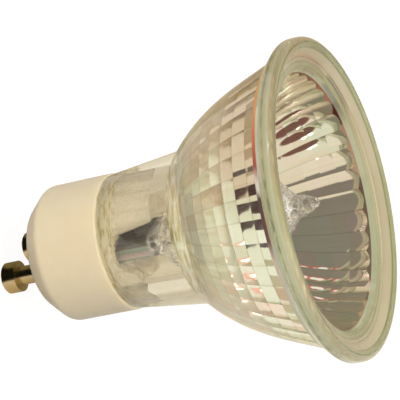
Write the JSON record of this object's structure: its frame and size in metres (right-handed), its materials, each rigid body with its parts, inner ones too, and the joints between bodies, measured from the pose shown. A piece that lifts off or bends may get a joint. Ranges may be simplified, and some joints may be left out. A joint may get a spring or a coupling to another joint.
{
  "type": "spotlight bulb",
  "caption": "Mains halogen reflector bulb with a faceted glass bowl, clear rim and neck, quartz capsule and a ceramic two-pin twist-lock cap.",
  "frame": {"origin": "middle of the ceramic cap's end face, between the two pins, where the cap seats in its lampholder", "axes": "+Z runs along the lamp's axis out of the open front, the pins point along -Z and lie on the X axis"},
  "size_m": [0.05, 0.05, 0.0558],
  "materials": {
    "ceramic": "matt, cream white",
    "pin_metal": "nickel plated, turned",
    "reflector_glass": "clear pressed glass with a dichroic mirror coat on the facets",
    "quartz": "clear fused quartz",
    "tungsten": "drawn wire",
    "molybdenum": "drawn wire and rolled foil",
    "lead_wire": "drawn wire",
    "cement": "rough, white"
  },
  "bodies": {
    "root": {"ceramic_base": "ceramic", "contact_pin_right": "pin_metal", "contact_pin_left": "pin_metal", "reflector": "reflector_glass", "capsule": "quartz", "filament": "tungsten", "inner_lead_short": "molybdenum", "inner_lead_long": "molybdenum", "seal_foil_right": "molybdenum", "seal_foil_left": "molybdenum", "outer_lead_right": "lead_wire", "outer_lead_left": "lead_wire", "capsule_cement": "cement"}
  },
  "joints": []
}
